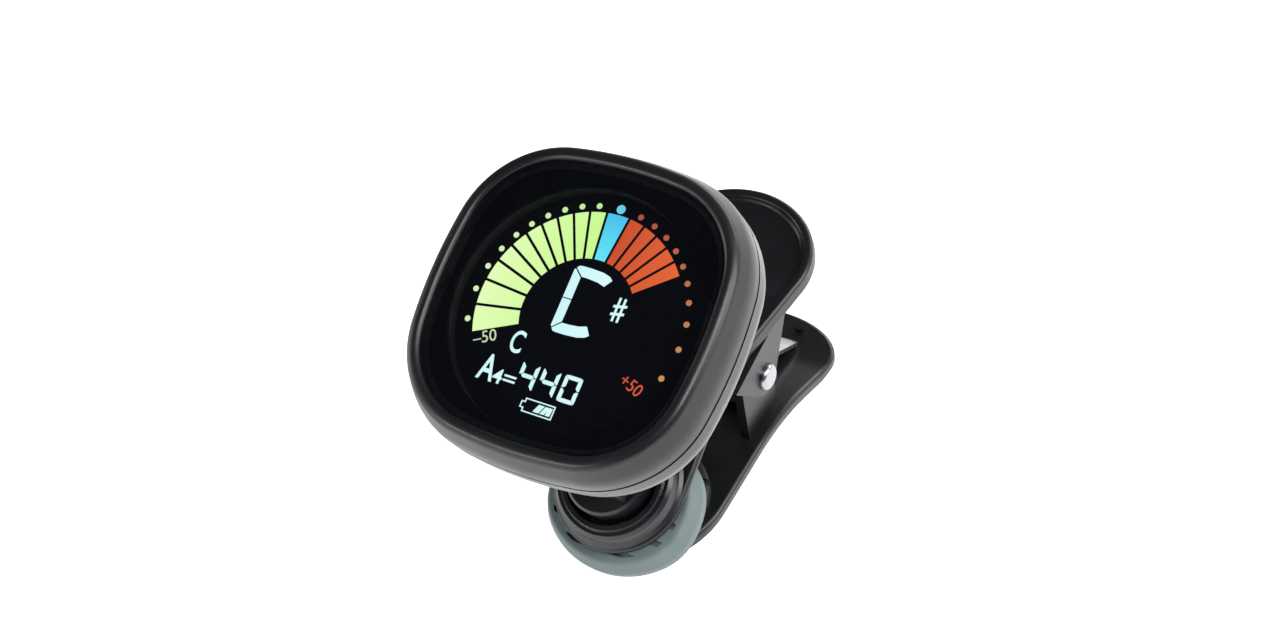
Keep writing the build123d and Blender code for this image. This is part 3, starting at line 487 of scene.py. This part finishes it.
white = lit("sign_white_lit", (0.62, 0.94, 0.96), (0.70, 0.98, 1.0), SHINE)
text_green = lit("text_green_lit", (0.55, 0.70, 0.42), (0.66, 0.78, 0.52), 0.9 * SHINE)

lefts = [sector(-edge_angle(step), -edge_angle(step - 1)) for step in range(1, STEPS + 1)]
rights = [sector(edge_angle(step - 1), edge_angle(step)) for step in range(1, LIT_RIGHT + 1)]
plates("scale_flat", lefts, green)
plates("scale_in_tune", [sector(-edge_angle(0), edge_angle(0))], blue)
plates("scale_sharp", rights, red)
for name, side, material, slot in (
    ("dots_flat", -1, pale_green, "sign_green"), ("dots_sharp", 1, red_dots, "sign_red"),
):
    spots = [ring_point(SCALE_RADIUS, side * dot_angle(step)) for step in range(1, STEPS + 1)]
    plates(name, [disc(spot, DOT_RADIUS) for spot in spots], material)
plates("dot_in_tune", [disc((0, SCALE_RADIUS), MIDDLE_DOT_RADIUS)], blue_dot)

plates("note_letter", big_note(), white)
plates("note_sharp", sharp_sign(), white)
FOUR = ("left_high", "middle", "right_high", "right_low")
ZERO = ("top", "bottom", "left_high", "left_low", "right_high", "right_low")
DIGIT = {"width": 2.75, "height": 3.9, "stroke": 0.58, "gap": 0.16}
DIGIT_HEIGHT = -10.0          # of the digits' middle, from the scale's centre
digits = []
for shown, x in ((FOUR, -3.2), (FOUR, 0.15), (ZERO, 3.6)):
    for bar in segments(shown, **DIGIT):
        digits.append(moved(bar, (x, DIGIT_HEIGHT)))
plates("pitch_digits", digits, white)
plates("battery_sign", battery_sign(), white)
word("letter_small", "C", (-6.8, -5.8), (1.95, 3.3), 0, white, 0.012)
word("pitch_letter", "A", (-9.45, -10.4), (2.6, 3.8), 0, white, 0.012)
word("pitch_octave", "4", (-7.5, -11.2), (1.5, 2.1), 0, white, 0.012)
word("pitch_equals", "=", (-5.6, -11.1), (1.9, 0.95), 0, white, 0.01)
word("scale_low_end", "\u201350", (-11.9, -6.5), (3.5, 1.75), 27, text_green)
word("scale_high_end", "+50", (11.9, -6.85), (3.5, 1.75), -20, red_text)

# ---- the clip's spring, which bends as the clip opens, cut into fine strips ---------------------
SPRING_CUT = 0.0008           # metres between the cuts that let the spring bend
spring_low, spring_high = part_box("clip_spring")


def bending_spring():
    """The leaf spring's own shape, cut finely enough to bend."""
    mesh = bpy.data.meshes.new("leaf_spring")
    build = bmesh.new()
    build.from_mesh(nodes["clip_spring"].data)
    bmesh.ops.remove_doubles(build, verts=build.verts, dist=0.000001)
    bmesh.ops.dissolve_limit(
        build, angle_limit=radians(1.0), verts=build.verts, edges=build.edges
    )
    for axis in (1, 2):
        normal = Vector((0, axis == 1, axis == 2))
        count = int((spring_high[axis] - spring_low[axis]) / SPRING_CUT)
        for i in range(1, count + 1):
            place = Vector((0, 0, 0))
            place[axis] = spring_low[axis] + i * SPRING_CUT
            everything = build.verts[:] + build.edges[:] + build.faces[:]
            bmesh.ops.bisect_plane(build, geom=everything, plane_co=place, plane_no=normal)
    bmesh.ops.triangulate(build, faces=build.faces)
    build.to_mesh(mesh)
    build.free()
    piece = bpy.data.objects.new("leaf_spring", mesh)
    bpy.context.scene.collection.objects.link(piece)
    mesh.materials.append(spring_steel)
    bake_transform(piece)
    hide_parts("clip_spring")


bending_spring()

# ---- smooth shading over the model's curved faces ------------------------------------------------
for node in nodes.values():
    node.data.polygons.foreach_set("use_smooth", [True] * len(node.data.polygons))

# ---- floor, light and camera ------------------------------------------------------------------
floor_z = cad_box[0].z
FLOOR_REACH = 1.6             # metres each way


def make_floor():
    """A flat, pale floor that fills the view."""
    mesh = bpy.data.meshes.new("floor")
    build = bmesh.new()
    corners = [
        (-FLOOR_REACH, -FLOOR_REACH), (FLOOR_REACH, -FLOOR_REACH),
        (FLOOR_REACH, FLOOR_REACH), (-FLOOR_REACH, FLOOR_REACH),
    ]
    build.faces.new([build.verts.new((x, y, floor_z)) for x, y in corners])
    build.to_mesh(mesh)
    build.free()
    floor = bpy.data.objects.new("floor", mesh)
    bpy.context.scene.collection.objects.link(floor)
    material, shader = new_material(
        "floor_paper", (0.90, 0.90, 0.90), 0.75, Emission_Color=(1, 1, 1, 1), Emission_Strength=0.78
    )
    grain = noise(material, 900.0, 3.0)
    colour = ramp(material, grain, (0.895, 0.895, 0.895), (0.91, 0.91, 0.91))
    material.node_tree.links.new(colour, shader.inputs["Base Color"])
    mesh.materials.append(material)


def area_light(name, place, target, size, power, tint=(1, 1, 1)):
    """A soft rectangular light that faces a point."""
    data = bpy.data.lights.new(name, "AREA")
    data.shape = "RECTANGLE"
    data.size, data.size_y = size
    data.energy = power
    data.color = tint
    light = bpy.data.objects.new(name, data)
    bpy.context.scene.collection.objects.link(light)
    light.location = place
    aim = Vector(target) - Vector(place)
    light.rotation_mode = "QUATERNION"
    light.rotation_quaternion = aim.to_track_quat("-Z", "Y")


make_floor()
world = bpy.data.worlds.new("studio")
world.use_nodes = True
world.node_tree.nodes["Background"].inputs["Color"].default_value = (0.88, 0.94, 1.0, 1)
world.node_tree.nodes["Background"].inputs["Strength"].default_value = 0.10
bpy.context.scene.world = world
area_light("right", (0.42, 0.12, 0.30), (0, 0.01, 0.02), (0.22, 0.40), 2.2)
area_light("crest", (0.27, -0.09, 0.44), (0, 0, 0.04), (0.12, 0.16), 1.5)
area_light("back", (0.10, 0.50, 0.22), (0, 0, 0.03), (0.50, 0.16), 1.6)
area_light("front", (-0.24, -0.46, 0.17), (0, 0, 0.04), (0.40, 0.10), 1.3)
area_light("left", (-0.48, -0.10, 0.10), (0, 0, 0.03), (0.10, 0.40), 0.7)

VIEW_RIGHT = Vector((0.85786, 0.49276, -0.14583))
VIEW_UP = Vector((-0.25689, 0.65701, 0.70878))
VIEW_BACK = VIEW_RIGHT.cross(VIEW_UP).normalized()
camera_data = bpy.data.cameras.new("camera")
camera_data.sensor_width = 36.0
camera_data.lens = 59.27
camera_data.clip_start = 0.01
camera_data.clip_end = 20.0
camera = bpy.data.objects.new("camera", camera_data)
bpy.context.scene.collection.objects.link(camera)
turn = Matrix((VIEW_RIGHT, VIEW_UP, VIEW_BACK)).transposed()
camera.matrix_world = Matrix.Translation((0.1338, -0.1661, 0.2390)) @ turn.to_4x4()
bpy.context.scene.camera = camera
bpy.context.scene.view_settings.view_transform = "Standard"
